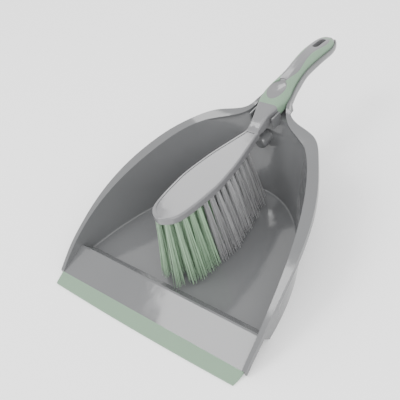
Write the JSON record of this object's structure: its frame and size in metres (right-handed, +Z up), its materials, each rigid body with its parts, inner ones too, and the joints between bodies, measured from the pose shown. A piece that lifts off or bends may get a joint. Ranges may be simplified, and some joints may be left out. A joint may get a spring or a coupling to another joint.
{
  "type": "dust pan and brush set",
  "caption": "Dust pan with flared walls, soft front lip and trough handle, holding a hand brush with a leaf-shaped bristle block.",
  "frame": {"origin": "centre of the set's footprint, on the surface that the pan stands on", "axes": "+X across the lip to the right, +Y from the lip to the handle, +Z up"},
  "size_m": [0.239, 0.3619, 0.0974],
  "materials": {
    "pan_grey": "moulded polypropylene, satin gloss",
    "brush_grey": "moulded polypropylene, gloss",
    "lip_green": "soft thermoplastic rubber, matt",
    "grip_green": "soft thermoplastic rubber, matt",
    "bristle_green": "filament",
    "bristle_grey": "filament",
    "anchor_steel": "flat wire"
  },
  "bodies": {
    "pan": {"pan_body": "pan_grey", "rubber_lip": "lip_green"},
    "brush": {"brush_body": "brush_grey", "grip_overmould": "grip_green", "tufts_green_1": "bristle_green", "tufts_green_2": "bristle_green", "tufts_green_3": "bristle_green", "tufts_green_4": "bristle_green", "tufts_green_5": "bristle_green", "tufts_grey_1": "bristle_grey", "tufts_grey_2": "bristle_grey", "tufts_grey_3": "bristle_grey", "tufts_grey_4": "bristle_grey", "tufts_grey_5": "bristle_grey", "anchors_1": "anchor_steel", "anchors_2": "anchor_steel", "anchors_3": "anchor_steel", "anchors_4": "anchor_steel", "anchors_5": "anchor_steel"}
  },
  "joints": [
    {"name": "brush_lift", "type": "slide", "parent": "pan", "child": "brush", "axis": [0, 0, 1], "range_m": [0, 0.12]}
  ]
}
